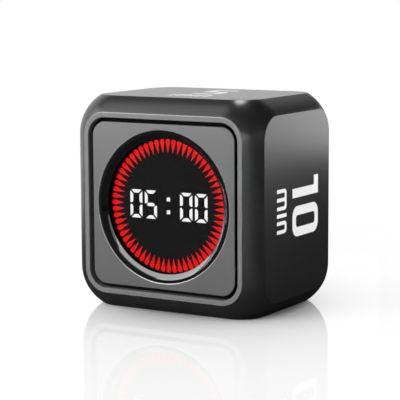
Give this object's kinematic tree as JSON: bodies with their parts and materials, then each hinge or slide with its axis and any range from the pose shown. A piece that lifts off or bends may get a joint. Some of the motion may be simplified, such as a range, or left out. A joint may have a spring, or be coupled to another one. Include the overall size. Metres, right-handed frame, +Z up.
{
  "type": "flip timer",
  "caption": "Rounded cube flip timer: round lit display in a square front, numbered sides that set the minutes when turned up, rear buttons, sound switch and charging socket.",
  "frame": {"origin": "middle of the lower side that it stands on", "axes": "+Z up, the display faces -Y, +X to the right of the display"},
  "size_m": [0.064, 0.05, 0.064],
  "materials": {
    "housing_black": "satin moulded plastic with a fine grain",
    "panel_grey": "satin grey plastic",
    "ring_gloss": "polished black",
    "seal_black": "matt",
    "lens_clear": "clear polished",
    "mask_black": "matt black",
    "mark_red": "translucent red, lit from behind",
    "digit_white": "translucent white, lit from behind",
    "board_green": "solder mask over glass fibre",
    "lamp_cream": "cast resin",
    "chip_black": "moulded epoxy",
    "screw_steel": "zinc plated",
    "screw_black": "black zinc plated",
    "connector_ivory": "nylon",
    "ribbon_white": "flat cable film",
    "socket_steel": "stamped sheet",
    "tongue_black": "moulded",
    "foam_grey": "closed-cell foam",
    "battery_foil": "laminated foil pouch",
    "lead_red": "insulated wire",
    "plunger_red": "moulded",
    "control_black": "satin moulded plastic",
    "phenolic_brown": "phenolic board"
  },
  "bodies": {
    "timer_body": {"main_housing": "housing_black", "front_panel": "panel_grey", "window_ring": "ring_gloss", "lens_seal": "seal_black", "display_lens": "lens_clear", "light_mask": "mask_black", "mark_guides": "mark_red", "digit_guides": "digit_white", "display_board": "board_green", "display_leds": "lamp_cream", "led_driver": "chip_black", "display_screws": "screw_steel", "display_connector": "connector_ivory", "ribbon_cable": "ribbon_white", "main_connector": "connector_ivory", "main_board": "board_green", "microcontroller": "chip_black", "gravity_sensor": "chip_black", "timing_crystal": "socket_steel", "charge_chip": "chip_black", "usb_socket": "socket_steel", "usb_tongue": "tongue_black", "buzzer": "chip_black", "buzzer_foam": "foam_grey", "battery": "battery_foil", "battery_pad": "foam_grey", "battery_leads": "lead_red", "battery_plug": "connector_ivory", "tact_switches": "tongue_black", "switch_can": "socket_steel", "switch_base": "phenolic_brown", "board_screws": "screw_steel", "rear_cover": "housing_black", "cover_screws": "screw_black"},
    "plus_key": {"plus_button": "control_black", "plus_plunger": "plunger_red"},
    "minus_key": {"minus_button": "control_black", "minus_plunger": "plunger_red"},
    "sound_slider": {"switch_knob": "control_black", "switch_slider": "tongue_black"}
  },
  "joints": [
    {"name": "plus_press", "type": "slide", "parent": "timer_body", "child": "plus_key", "axis": [0, -1, 0], "range_m": [0, 0.0004], "stiffness_N_per_m": 400, "springref_m": -0.001},
    {"name": "minus_press", "type": "slide", "parent": "timer_body", "child": "minus_key", "axis": [0, -1, 0], "range_m": [0, 0.0004], "stiffness_N_per_m": 400, "springref_m": -0.001},
    {"name": "sound_slide", "type": "slide", "parent": "timer_body", "child": "sound_slider", "axis": [1, 0, 0], "range_m": [-0.002, 0.002]}
  ]
}
